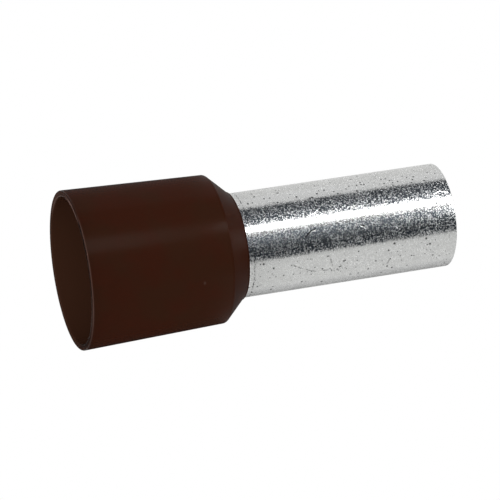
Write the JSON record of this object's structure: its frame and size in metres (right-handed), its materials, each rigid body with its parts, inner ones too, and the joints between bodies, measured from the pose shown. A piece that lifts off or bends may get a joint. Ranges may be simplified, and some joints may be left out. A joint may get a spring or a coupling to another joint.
{
  "type": "wire ferrule",
  "caption": "Insulated wire ferrule: a tin-plated copper barrel with a flared seat in a brown plastic collar, which takes the cable's insulation.",
  "frame": {"origin": "centre of the mouth rim's plane, where the ferrule stands", "axes": "+Z along the ferrule's axis, from the mouth towards the barrel's free end; the part is round, so X and Y are free"},
  "size_m": [0.0116, 0.0116, 0.0283],
  "materials": {
    "collar_plastic": "satin moulded polypropylene, dark brown",
    "tinned_copper": "bright tin plate with a fine speckle"
  },
  "bodies": {
    "root": {"insulating_collar": "collar_plastic", "metal_sleeve": "tinned_copper"}
  },
  "joints": []
}
